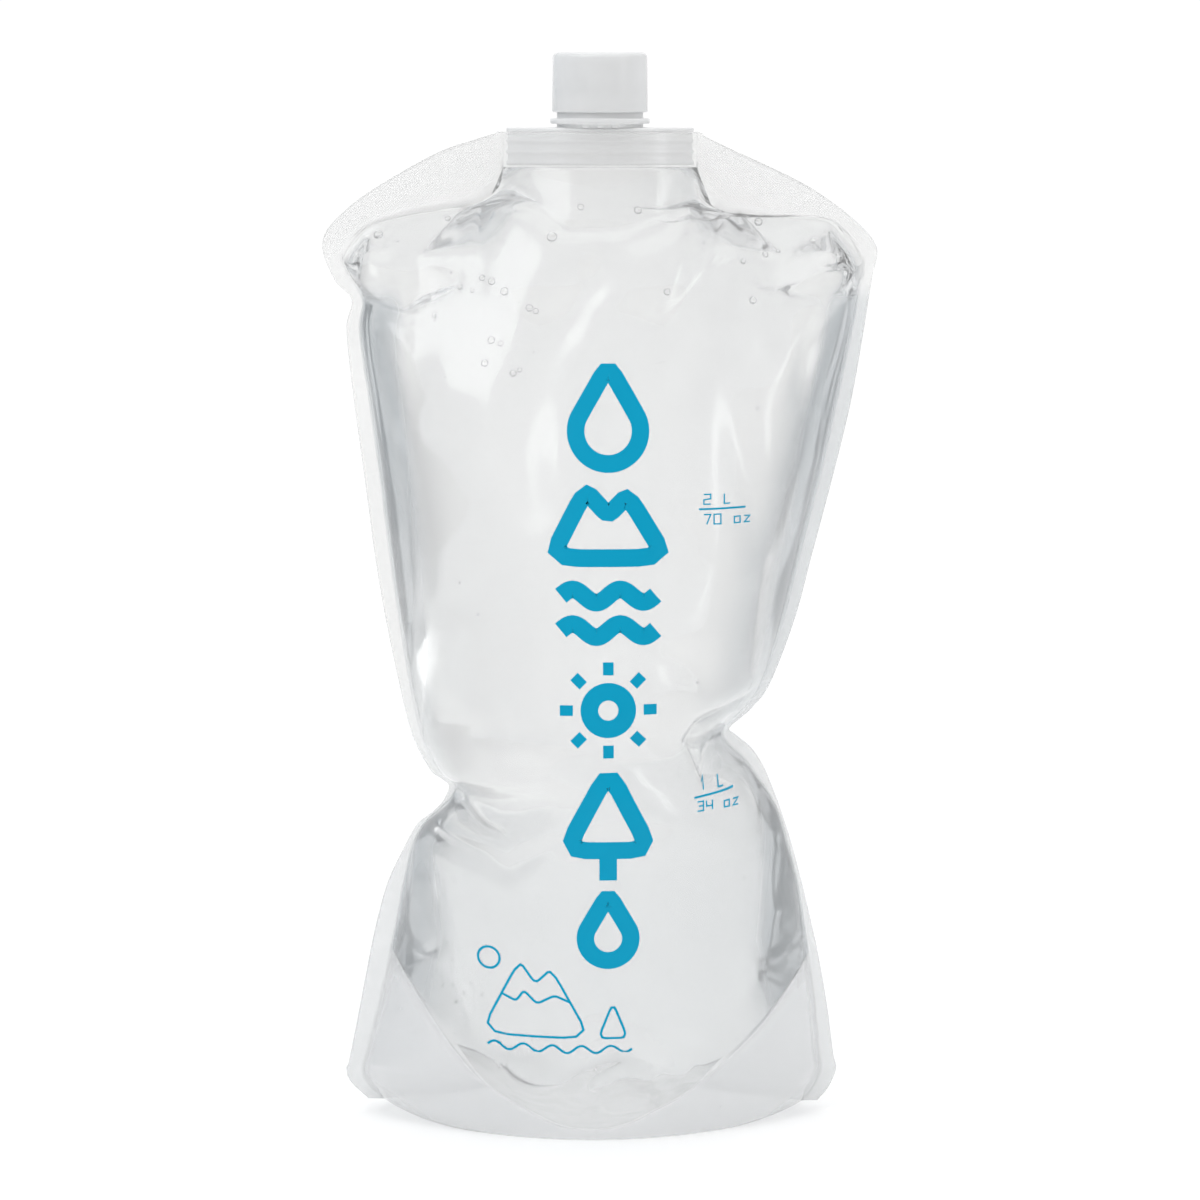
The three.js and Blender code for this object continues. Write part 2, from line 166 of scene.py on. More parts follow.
BACK_FOLDS = [
    (((-76, 261), (-62, 259), (-44, 262)), 3, 3.5, 1.0),
    (((84, 271), (68, 262), (50, 262)), 2.6, 4, 1.1),
    (((-50, 106), (-40, 101), (-30, 100)), 3, 5, 1.4),
    (((48, 131), (36, 125), (24, 118), (12, 116)), 2.6, 6, 1.5),
    (((46, 128), (39, 110), (42, 96)), 2.6, 3.4, 1.2),
    (((-20, 282), (-6, 262), (-14, 236)), 2, 8, 2),
    (((24, 276), (30, 246), (20, 214)), 2, 8, 2),
    (((-26, 236), (-20, 195), (-26, 150), (-22, 122)), 1.0, 12, 2),
    (((-30, 84), (-10, 76), (12, 84)), 1.8, 6, 1.8),
    (((-20, 18), (0, 26), (22, 16)), 2.2, 4, 1.3),
    (((40, 80), (50, 60), (46, 36)), 1.6, 6, 1.8),
]


def curve_through(values, at):
    """Catmull-Rom values at fractional station numbers."""
    values = np.asarray(values, float)
    at = np.clip(np.asarray(at, float), 0, len(values) - 1)
    low = np.minimum(at.astype(int), len(values) - 2)
    share = (at - low)[..., None] if values.ndim > 1 else at - low
    before = values[np.maximum(low - 1, 0)]
    first, second = values[low], values[low + 1]
    after = values[np.minimum(low + 2, len(values) - 1)]
    return 0.5 * (
        2 * first
        + (second - before) * share
        + (2 * before - 5 * first + 4 * second - after) * share**2
        + (3 * first - before - 3 * second + after) * share**3
    )


def edge_at(which, at):
    """Points of one of the four edge curves, x and z in metres, at station numbers."""
    scale = (
        (PANEL_HIGH.x - PANEL_LOW.x) / DRAWN_WIDTH,
        (PANEL_HIGH.z - PANEL_LOW.z) / DRAWN_HEIGHT,
    )
    return curve_through([s[which] for s in STATIONS], at) * scale


def seal_wave(z, side):
    """How far the seam wanders out of the middle plane at height z, in metres."""
    fade = np.clip(z / 0.03, 0, 1) * np.clip((0.3 - z) / 0.03, 0, 1)
    swing = np.sin(z * 47 + side * 1.3) + 0.5 * np.sin(z * 103 + side * 2.1)
    return 1.1 * MM * fade * swing


def smooth(value, low, high):
    """A soft step from 0 at low to 1 at high."""
    share = np.clip((value - low) / (high - low), 0, 1)
    return share * share * (3 - 2 * share)


def weld_station(share):
    """The station at which the gusset's weld crosses the film, for a share of the half width."""
    share = np.abs(share)
    rise = share**2 * (1.3 - 0.3 * share**2)
    side = edge_at(1, WELD_STATION)[1]
    height = WELD_MIDDLE + (side - WELD_MIDDLE) * rise
    stations = np.linspace(0, WELD_STATION, 400)
    heights = []
    for z_left, z_right in zip(edge_at(1, stations)[:, 1], edge_at(2, stations)[:, 1]):
        heights.append((z_left + z_right) / 2)
    heights = np.array(heights)
    lifted = heights - heights[0] * np.clip(1 - stations, 0, 1) * (1 - foot_lift(share)[:, None])
    found = [np.interp(h, row, stations) for h, row in zip(height, lifted)]
    return np.array(found)


def foot_lift(share):
    """How far the foot rises towards its corners, for a share of the half width."""
    return np.clip((np.abs(share) - FOOT_FLAT) / (1 - FOOT_FLAT), 0, 1) ** 2


def fold_depth(points, folds):
    """How far in the folds press the film at points given as x and z in metres."""
    total = np.zeros(points.shape[:-1])
    for line, depth, width, sharp in folds:
        line = np.array(line, float) * MM
        nearest = np.full(total.shape, np.inf)
        along = np.zeros(total.shape)
        lengths = np.linalg.norm(np.diff(line, axis=0), axis=1)
        start = 0.0
        for first, second, length in zip(line[:-1], line[1:], lengths):
            step = second - first
            share = np.clip(((points - first) @ step) / length**2, 0, 1)
            away = np.linalg.norm(points - first - share[..., None] * step, axis=-1)
            closer = away < nearest
            nearest = np.where(closer, away, nearest)
            along = np.where(closer, (start + share * length) / lengths.sum(), along)
            start += length
        taper = np.clip(np.sin(np.pi * np.clip(0.08 + 0.84 * along, 0, 1)), 0, 1) ** 0.7
        total += depth * MM * taper * np.exp(-((nearest / (width * MM)) ** sharp))
    return total


def soft_noise(points, size, seed):
    """Smooth noise of about plus and minus one, at a size in metres."""
    flat = points.reshape(-1, points.shape[-1]) / size + seed
    values = [noise.noise(Vector(p)) for p in flat]
    return np.array(values).reshape(points.shape[:-1])


def surface_normals(grid):
    """Outward normals of a grid of points whose rows go up and whose columns go left to right."""
    across = np.gradient(grid, axis=1)
    up = np.gradient(grid, axis=0)
    normal = np.cross(across, up)
    length = np.linalg.norm(normal, axis=-1, keepdims=True)
    return normal / np.maximum(length, 1e-12)


@lru_cache(maxsize=None)
def body_grid(side):
    """The film's inner face between the side welds, for the front (-1) or the back (1).

    Rows go from the foot to the top edge and columns from the left weld to the right one.
    """
    turn = np.linspace(-math.pi / 2, math.pi / 2, COLUMNS + 1)
    share = np.sin(turn)
    weld = weld_station(share)
    skirt = np.linspace(0, 1, SKIRT_ROWS + 1)[:, None] * weld
    body_share = np.linspace(0, 1, BODY_ROWS + 1)[1:, None]
    body = weld + (WATER_STATION - weld) * body_share
    neck_share = np.linspace(0, 1, NECK_ROWS + 1)[1:, None]
    neck = WATER_STATION + (TOP_STATION - WATER_STATION) * neck_share + 0 * weld
    station = np.vstack([skirt, body, neck])
    left, right = edge_at(1, station), edge_at(2, station)
    mix = ((1 + share) / 2)[None, :, None]
    flat = left + (right - left) * mix
    depth = curve_through([s[4] for s in STATIONS], station) * MM
    point = curve_through([s[5] for s in STATIONS], station)
    bulge = depth * np.maximum(np.cos(turn), 0)[None, :] ** point
    reach = SPOUT_REACH + 0.9 * np.clip(0.3027 - flat[..., 1], 0, 0.03)
    lens = SPOUT_DEPTH * np.maximum(1 - (flat[..., 0] / reach) ** 2, 0)
    shoulder = np.interp(flat[..., 0], *SHOULDER)
    length = 0.06 - 0.035 * smooth(np.abs(flat[..., 0]), 0.05, 0.075)
    wedge = np.sin(math.pi / 2 * np.clip((shoulder - flat[..., 1]) / length, 0, 1))
    bulge = lens + (bulge - lens) * wedge
    near_foot = np.clip(1 - station, 0, 1)
    height = flat[..., 1] * (1 - near_foot * (1 - foot_lift(share)))
    near_left = np.clip(-share, 0, 1) ** 4
    near_right = np.clip(share, 0, 1) ** 4
    wander = near_left * seal_wave(height, -1) + near_right * seal_wave(height, 1)
    grid = np.stack([flat[..., 0], side * bulge + wander, height], axis=-1)

    normal = surface_normals(grid) * (-side)
    normal *= np.where((normal[..., 1:2] * side) < 0, -1, 1)
    inside = np.maximum(np.cos(turn), 0)[None, :]
    above_weld = smooth(station, weld[None, :] + 0.0, weld[None, :] + 1.0)
    below_spout = 1 - smooth(station, 28.4, 29.8)
    keep = smooth(inside, 0.02, 0.3) * above_weld * below_spout
    folds = FRONT_FOLDS if side < 0 else BACK_FOLDS
    pressed = fold_depth(grid[..., [0, 2]], folds)
    along_seam = np.stack([grid[..., 2], grid[..., 0] * 0.25, grid[..., 1] * 0.25], axis=-1)
    pucker = soft_noise(along_seam, 0.013, 7.0 + side)
    pucker *= np.exp(-((inside / 0.5) ** 2)) * smooth(inside, 0.03, 0.2)
    dents = soft_noise(grid, 0.05, 21.0 + side)
    ripple = soft_noise(grid * (1, 1, 0.45), 0.016, 3.0 + side)
    push = -pressed + PUCKER * pucker + DENT * dents + RIPPLE * ripple
    return grid + normal * (push * keep)[..., None]


def painted_edge_shade(points):
    """Painted shade on the film: greyest just inside the side welds, where the film turns away from
    the light, and a little low down.
    """
    left = points[:, FLANGE_COLUMNS, 0][:, None]
    right = points[:, -FLANGE_COLUMNS - 1, 0][:, None]
    height = points[..., 2] / MM
    painted_shade = np.zeros(points.shape[:2])
    # Painted shade: a grey ribbon just inside each side weld, and a flat share on the right seal.
    for inside, heights, widths, amounts, seal in (
        ((points[..., 0] - left) / MM, (20, 60, 96, 130, 215, 262), (11, 12, 4, 7, 12, 12),
         (0.6, 0.8, 0.6, 0.5, 1, 1), 0),
        ((right - points[..., 0]) / MM, (20, 60, 105, 140, 215, 262), (11, 12, 4, 7, 10, 10),
         (0.8, 1, 0.6, 0.8, 1, 1), 0.55),
    ):
        width = np.interp(height, heights, widths)
        soft = np.interp(height, (120, 215), (0.8, 0.25))
        ribbon = 1 - smooth(inside, width * (1 - soft), width * (1 + soft))
        painted_shade += ribbon * (inside > -0.05) * np.interp(height, heights, amounts)
        painted_shade += seal * (inside < -0.05) * smooth(height, 100, 150)
    # Painted shade: a little more low down, none at the top edge, and an even share on the skirts.
    painted_shade += 0.35 * (1 - smooth(height, 60, 150))
    painted_shade *= 1 - smooth(height, 258, 268)
    painted_shade[:SKIRT_ROWS + 1] = 0.4
    return np.clip(painted_shade, 0, 1)


@lru_cache(maxsize=None)
def panel_grid(side):
    """The whole panel: the body with the flat seal outside each weld."""
    body = body_grid(side)
    turn = np.linspace(-math.pi / 2, math.pi / 2, COLUMNS + 1)
    weld = weld_station(np.sin(turn))
    end = weld[0]
    station = np.concatenate([
        np.linspace(0, end, SKIRT_ROWS + 1),
        np.linspace(end, WATER_STATION, BODY_ROWS + 1)[1:],
        np.linspace(WATER_STATION, TOP_STATION, NECK_ROWS + 1)[1:],
    ])
    columns = []
    for which, weld_column, sign in ((0, body[:, 0], -1), (3, body[:, -1], 1)):
        edge = edge_at(which, station)
        edge = np.stack([edge[:, 0], seal_wave(edge[:, 1], sign), edge[:, 1]], axis=-1)
        shares = FLANGE_SHARES
        flange = [edge + (weld_column - edge) * s for s in shares]
        columns.append(flange)
    left = np.stack(columns[0], axis=1)
    right = np.stack(columns[1][::-1], axis=1)
    whole = np.concatenate([left, body, right], axis=1)
    whole[..., 1] += side * 0.1 * MM
    return whole


@lru_cache(maxsize=None)
def gusset_cross():
    """The gusset sheet under the water, from the front weld to the back weld."""
    front = body_grid(-1)[SKIRT_ROWS]
    back = body_grid(1)[SKIRT_ROWS]
    share = np.linspace(0, 1, CROSS_ROWS + 1)[:, None, None]
    grid = front + (back - front) * share
    turn = np.linspace(-math.pi / 2, math.pi / 2, COLUMNS + 1)
    across = np.sin(math.pi * share[..., 0])
    middle = np.cos(turn)[None, :] ** 2
    grid[..., 2] -= 2.2 * MM * across * middle
    crumple = soft_noise(grid, 0.014, 40.0) + 0.5 * soft_noise(grid, 0.007, 50.0)
    grid[..., 2] += 1.0 * MM * crumple * across**0.5 * np.cos(turn)[None, :]
    return grid


# ---------------------------------------------------------------- finishes and painted shade

CLEAR_TINT = (0.98, 0.98, 0.979)  # what a film face lets through
# Painted shade: what a film face lets through, and the haze colour, where the painted shade mask is
# full.
PAINTED_SHADE_TINT = (0.956, 0.96, 0.961)  # and where the shade mask is full
PAINTED_SHADE_HAZE = (0.65, 0.672, 0.685)
MORE_HAZE = 0.22  # what the emboss, the cut edge and the shade each add to the film's haze

# ---------------------------------------------------------------- stage numbers, in metres

CAMERA_PLACE = (0, -1.55, 0.335)
CAMERA_DOWN = 6.27  # degrees below level
FLOOR_RADIUS = 1.1
POUCH_MIDDLE = (0, 0, 0.16)
# The surround that the water refracts, from left to right: white with greyer sides.
SURROUND = (
    (0.08, (0.37, 0.4, 0.43)), (0.2, (0.52, 0.55, 0.57)), (0.3, (0.9, 0.9, 0.9)),
    (0.4, (1, 1, 1)), (0.6, (1, 1, 1)), (0.7, (0.88, 0.88, 0.88)), (0.78, (0.56, 0.56, 0.56)),
    (0.9, (0.7, 0.715, 0.725)),
)

# ---------------------------------------------------------------- mesh helpers


def new_piece(name, bm, body):
    """A finished mesh object at the origin that rides on a body."""
    mesh = bpy.data.meshes.new(name)
    bm.to_mesh(mesh)
    bm.free()
    piece = bpy.data.objects.new(name, mesh)
    bpy.context.scene.collection.objects.link(piece)
    for polygon in mesh.polygons:
        polygon.use_smooth = True
    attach(piece, body)
    return piece


def lay_grid(bm, points):
    """A quad grid laid through an array of points, rows first."""
    rows, columns = points.shape[:2]
    made = bmesh.ops.create_grid(
        bm, x_segments=columns - 1, y_segments=rows - 1, size=1.0
    )["verts"]
    ordered = sorted(made, key=lambda v: (round(v.co.y, 5), round(v.co.x, 5)))
    for vert, place in zip(ordered, points.reshape(-1, 3)):
        vert.co = place
    return made


def face_out(bm):
    """Turns a closed mesh's faces outwards."""
    bmesh.ops.recalc_face_normals(bm, faces=bm.faces)


def spin_profile(bm, profile, steps, close=True):
    """A body turned about the Z axis from radius and height pairs in metres."""
    verts = [bm.verts.new((r, 0, z)) for r, z in profile]
    count = len(verts)
    edges = [bm.edges.new((verts[i], verts[i + 1])) for i in range(count - 1)]
    if close:
        edges.append(bm.edges.new((verts[-1], verts[0])))
    bmesh.ops.spin(
        bm,
        geom=verts + edges,
        cent=(0, 0, 0),
        axis=(0, 0, 1),
        angle=2 * math.pi,
        steps=steps,
        use_merge=True,
        use_duplicate=False,
    )
    bmesh.ops.remove_doubles(bm, verts=bm.verts, dist=1e-6)


# ---------------------------------------------------------------- materials


def node_material(name):
    material = bpy.data.materials.new(name)
    material.use_nodes = True
    material.node_tree.nodes.clear()
    return material, material.node_tree.nodes, material.node_tree.links


def shader_node(nodes, kind, **values):
    """A shader node with constants set by socket name, where _ stands for a space."""
    node = nodes.new(kind)
    for name, value in values.items():
        socket = node.inputs[name.replace("_", " ")]
        if socket.type == "RGBA":
            value = (*value, 1)
        socket.default_value = value
    return node


def maths(nodes, links, operation, *values):
    """The output of a Math node, whose values are numbers or sockets."""
    node = nodes.new("ShaderNodeMath")
    node.operation = operation
    for socket, value in zip(node.inputs, values):
        if isinstance(value, bpy.types.NodeSocket):
            links.new(value, socket)
        else:
            socket.default_value = value
    return node.outputs[0]


def mixed_colour(nodes, links, mask, low, high):
    """A colour between two others, by a mask."""
    node = nodes.new("ShaderNodeMix")
    node.data_type = "RGBA"
    node.inputs["A"].default_value = (*low, 1)
    node.inputs["B"].default_value = (*high, 1)
    links.new(mask, node.inputs["Factor"])
    return node.outputs["Result"]


def mixed_shader(nodes, links, share, first, second):
    """Two shaders mixed by a share, which is a number or a socket."""
    node = nodes.new("ShaderNodeMixShader")
    if isinstance(share, bpy.types.NodeSocket):
        links.new(share, node.inputs["Fac"])
    else:
        node.inputs["Fac"].default_value = share
    links.new(first.outputs[0], node.inputs[1])
    links.new(second.outputs[0], node.inputs[2])
    return node


def bumped(nodes, links, height, strength, distance):
    """The normal that a height gives."""
    bump = shader_node(nodes, "ShaderNodeBump", Strength=strength, Distance=distance)
    links.new(height, bump.inputs["Height"])
    return bump.outputs["Normal"]


def point_value(nodes, name):
    """The value of one of the piece's own point attributes."""
    attribute = nodes.new("ShaderNodeAttribute")
    attribute.attribute_name = name
    return attribute.outputs["Fac"]


def finish_surface(nodes, links, shader, shadow_colour=None):
    """Puts the shader out; a shadow colour lets light through to what is behind it."""
    if shadow_colour:
        shadow = shader_node(nodes, "ShaderNodeBsdfTransparent", Color=shadow_colour)
        ray = nodes.new("ShaderNodeLightPath").outputs["Is Shadow Ray"]
        shader = mixed_shader(nodes, links, ray, shader, shadow)
    output = nodes.new("ShaderNodeOutputMaterial")
    links.new(shader.outputs[0], output.inputs["Surface"])


def cloudiness(nodes, scale):
    """Fine cloudiness shared by the film, the plastics and the ink: a mask and a height."""
    name = "Cloudiness"
    if name in bpy.data.node_groups:
        tree = bpy.data.node_groups[name]
    else:
        tree = bpy.data.node_groups.new(name, "ShaderNodeTree")
        for socket, way in (("Scale", "INPUT"), ("Mask", "OUTPUT"), ("Height", "OUTPUT")):
            tree.interface.new_socket(socket, in_out=way, socket_type="NodeSocketFloat")
        inputs, outputs = tree.nodes.new("NodeGroupInput"), tree.nodes.new("NodeGroupOutput")
        coordinate = tree.nodes.new("ShaderNodeTexCoord")
        broad = shader_node(tree.nodes, "ShaderNodeTexNoise", Detail=3)
        fine = shader_node(tree.nodes, "ShaderNodeTexNoise", Detail=1, Scale=900)
        tree.links.new(inputs.outputs["Scale"], broad.inputs["Scale"])
        for texture, socket in ((broad, "Mask"), (fine, "Height")):
            tree.links.new(coordinate.outputs["Object"], texture.inputs["Vector"])
            tree.links.new(texture.outputs["Fac"], outputs.inputs[socket])
    group = nodes.new("ShaderNodeGroup")
    group.node_tree = tree
    group.inputs["Scale"].default_value = scale
    return group


def emboss_grid(nodes, links, pitch):
    """A grid of dots at a pitch, from minus one to one, on the seals only."""
    coordinate = nodes.new("ShaderNodeTexCoord")
    split = nodes.new("ShaderNodeSeparateXYZ")
    links.new(coordinate.outputs["Object"], split.inputs["Vector"])
    waves = []
    for axis in ("X", "Z"):
        turn = maths(nodes, links, "MULTIPLY", split.outputs[axis], 2 * math.pi / pitch)
        waves.append(maths(nodes, links, "SINE", turn))
    dots = maths(nodes, links, "MULTIPLY", *waves)
    return maths(nodes, links, "MULTIPLY", dots, point_value(nodes, "seal"))


def film_material(settings):
    """Clear glossy film: mostly see-through, brighter and more mirror-like at grazing angles."""
    material, nodes, links = node_material("clear_film")
    # The film reads its painted shade from a point attribute: it greys the haze, dims what the film
    # lets through and adds haze.
    painted_shade = point_value(nodes, "painted_shade")
    emboss = emboss_grid(nodes, links, settings.emboss_pitch)
    cloud = cloudiness(nodes, 45).outputs["Mask"]
    height = maths(nodes, links, "MULTIPLY_ADD", cloud, 0.3, emboss)
    normal = bumped(nodes, links, height, 0.8, 0.2 * MM)

    haze = shader_node(nodes, "ShaderNodeBsdfPrincipled", Roughness=0.3)
    glow = nodes.new("ShaderNodeBsdfTranslucent")
    gloss = shader_node(
        nodes, "ShaderNodeBsdfGlossy", Roughness=settings.film_roughness, Color=(1, 1, 1)
    )
    for shader in (haze, gloss):
        links.new(normal, shader.inputs["Normal"])
    grey = mixed_colour(nodes, links, painted_shade, settings.film_colour, PAINTED_SHADE_HAZE)
    links.new(grey, haze.inputs["Base Color"])
    links.new(grey, glow.inputs["Color"])
    clear = nodes.new("ShaderNodeBsdfTransparent")
    tint = mixed_colour(nodes, links, painted_shade, CLEAR_TINT, PAINTED_SHADE_TINT)
    links.new(tint, clear.inputs["Color"])

    raised = maths(nodes, links, "MAXIMUM", emboss, 0)
    amount = settings.film_haze
    for mask in (raised, point_value(nodes, "rim"), painted_shade):
        amount = maths(nodes, links, "MULTIPLY_ADD", mask, MORE_HAZE, amount)
    milk = mixed_shader(nodes, links, 0.55, haze, glow)
    body = mixed_shader(nodes, links, amount, clear, milk)

    fresnel = shader_node(nodes, "ShaderNodeFresnel", IOR=1.42)
    links.new(normal, fresnel.inputs["Normal"])
    # Only the outside mirrors, or light that leaves the film would be turned back in full.
    inside = nodes.new("ShaderNodeNewGeometry").outputs["Backfacing"]
    outside = maths(nodes, links, "SUBTRACT", 1, inside)
    mirror = maths(nodes, links, "MULTIPLY", fresnel.outputs[0], outside)
    surface = mixed_shader(nodes, links, mirror, body, gloss)
    finish_surface(nodes, links, surface, (0.97, 0.97, 0.972))
    return material


def water_material(settings):
    """Clear water that refracts, and casts only a faint shadow."""
    material, nodes, links = node_material("clear_water")
    water = shader_node(
        nodes, "ShaderNodeBsdfPrincipled", Base_Color=settings.water_colour, Roughness=0.07,
        IOR=1.333, Transmission_Weight=1.0,
    )
    finish_surface(nodes, links, water, (0.93, 0.935, 0.94))
    return material


def bubble_material():
    """Air inside water, whose rim reflects."""
    material, nodes, links = node_material("air_bubble")
    air = shader_node(
        nodes, "ShaderNodeBsdfPrincipled", Base_Color=(1, 1, 1), Roughness=0.0,
        IOR=0.75, Transmission_Weight=1.0,
    )
    finish_surface(nodes, links, air)
    return material


def moulded_material(name, colour, cover, roughness):
    """Translucent natural plastic: partly see-through, with a satin skin and faint clouding."""
    material, nodes, links = node_material(name)
    cloud = cloudiness(nodes, 120)
    plastic = shader_node(nodes, "ShaderNodeBsdfPrincipled", Roughness=roughness)
    tint = mixed_colour(nodes, links, cloud.outputs["Mask"], [c * 0.96 for c in colour], colour)
    links.new(tint, plastic.inputs["Base Color"])
    normal = bumped(nodes, links, cloud.outputs["Height"], 0.15, 0.05 * MM)
    links.new(normal, plastic.inputs["Normal"])
    glow = shader_node(nodes, "ShaderNodeBsdfTranslucent", Color=colour)
    milk = mixed_shader(nodes, links, 0.08, plastic, glow)
    clear = shader_node(nodes, "ShaderNodeBsdfTransparent", Color=(0.95, 0.955, 0.96))
    facing = shader_node(nodes, "ShaderNodeLayerWeight", Blend=0.35).outputs["Facing"]
    amount = maths(nodes, links, "MULTIPLY_ADD", facing, 0.45, cover)
    amount.node.use_clamp = True
    finish_surface(nodes, links, mixed_shader(nodes, links, amount, clear, milk))
    return material


def floor_material(settings):
    """A plain pale floor without any shine."""
    material, nodes, links = node_material("pale_floor")
    matt = shader_node(nodes, "ShaderNodeBsdfDiffuse", Color=settings.floor_colour)
    finish_surface(nodes, links, matt)
    return material


def plain_material(name, colour, roughness):
    """A solid finish with faint clouding, for the ink and the foam."""
    material, nodes, links = node_material(name)
    shader = shader_node(
        nodes, "ShaderNodeBsdfPrincipled", Specular_IOR_Level=0.1, Roughness=roughness
    )
    cloud = cloudiness(nodes, 200).outputs["Mask"]
    tint = mixed_colour(nodes, links, cloud, [c * 0.97 for c in colour], colour)
    links.new(tint, shader.inputs["Base Color"])
    finish_surface(nodes, links, shader)
    return material


# ---------------------------------------------------------------- settings


class PouchSettings(bpy.types.PropertyGroup):
    film_thickness: bpy.props.FloatProperty(
        name="Film thickness", description="Thickness of each film sheet",
        default=0.25 * MM, unit="LENGTH", precision=5,
    )
    film_colour: bpy.props.FloatVectorProperty(
        name="Film colour", description="Colour of the film's haze",
        default=(0.895, 0.893, 0.89), subtype="COLOR", size=3,
    )
    film_haze: bpy.props.FloatProperty(
        name="Film haze", description="Share of the film that isn't see-through",
        default=0.15, min=0, max=1, subtype="FACTOR",
    )
    film_roughness: bpy.props.FloatProperty(
        name="Film roughness", description="Roughness of the film's gloss",
        default=0.16, min=0, max=1, subtype="FACTOR",
    )
    emboss_pitch: bpy.props.FloatProperty(
        name="Emboss pitch", description="Spacing of the fine grid pressed into the seals",
        default=0.9 * MM, unit="LENGTH", precision=5,
    )
    water_colour: bpy.props.FloatVectorProperty(
        name="Water colour", description="Tint of the water",
        default=(0.893, 0.895, 0.893), subtype="COLOR", size=3,
    )


class PrintSettings(bpy.types.PropertyGroup):
    ink: bpy.props.FloatVectorProperty(
        name="Ink", description="Colour of the print",
        default=(0.001, 0.32, 0.52), subtype="COLOR", size=3,
    )
    bold: bpy.props.FloatProperty(
        name="Bold stroke", description="Width of the large graphic's lines",
        default=5.4 * MM, unit="LENGTH", precision=5,
    )
    fine: bpy.props.FloatProperty(
        name="Fine stroke", description="Width of the small marks' lines",
        default=0.75 * MM, unit="LENGTH", precision=5,
    )


class SpoutSettings(bpy.types.PropertyGroup):
    colour: bpy.props.FloatVectorProperty(
        name="Plastic colour", description="Colour of the spout and the cap",
        default=(0.962, 0.964, 0.965), subtype="COLOR", size=3,
    )
    bore: bpy.props.FloatProperty(
        name="Bore", description="Inside diameter of the neck",
        default=21.7 * MM, unit="LENGTH", precision=5,
    )
    neck: bpy.props.FloatProperty(
        name="Neck", description="Outside diameter of the neck at the root of the thread",
        default=24.9 * MM, unit="LENGTH", precision=5,
    )
    pitch: bpy.props.FloatProperty(
        name="Thread pitch", description="Rise of the thread in one turn",
        default=3.18 * MM, unit="LENGTH", precision=5,
    )


class StageSettings(bpy.types.PropertyGroup):
    floor_colour: bpy.props.FloatVectorProperty(
        name="Floor colour", description="Colour of the plain floor",
        default=(0.95, 0.95, 0.95), subtype="COLOR", size=3,
    )
    light: bpy.props.FloatProperty(
        name="Surround light", description="Strength of the white surround",
        default=1.04, min=0,
    )
    lens: bpy.props.FloatProperty(
        name="Lens", description="Focal length of the camera in millimetres", default=147.0, min=1,
    )


# ---------------------------------------------------------------- operators


def add_attribute(piece, name, values):
    """A value for each point of a piece, for its material to read."""
    attribute = piece.data.attributes.new(name, "FLOAT", "POINT")
    attribute.data.foreach_set("value", np.asarray(values, np.float32).ravel())


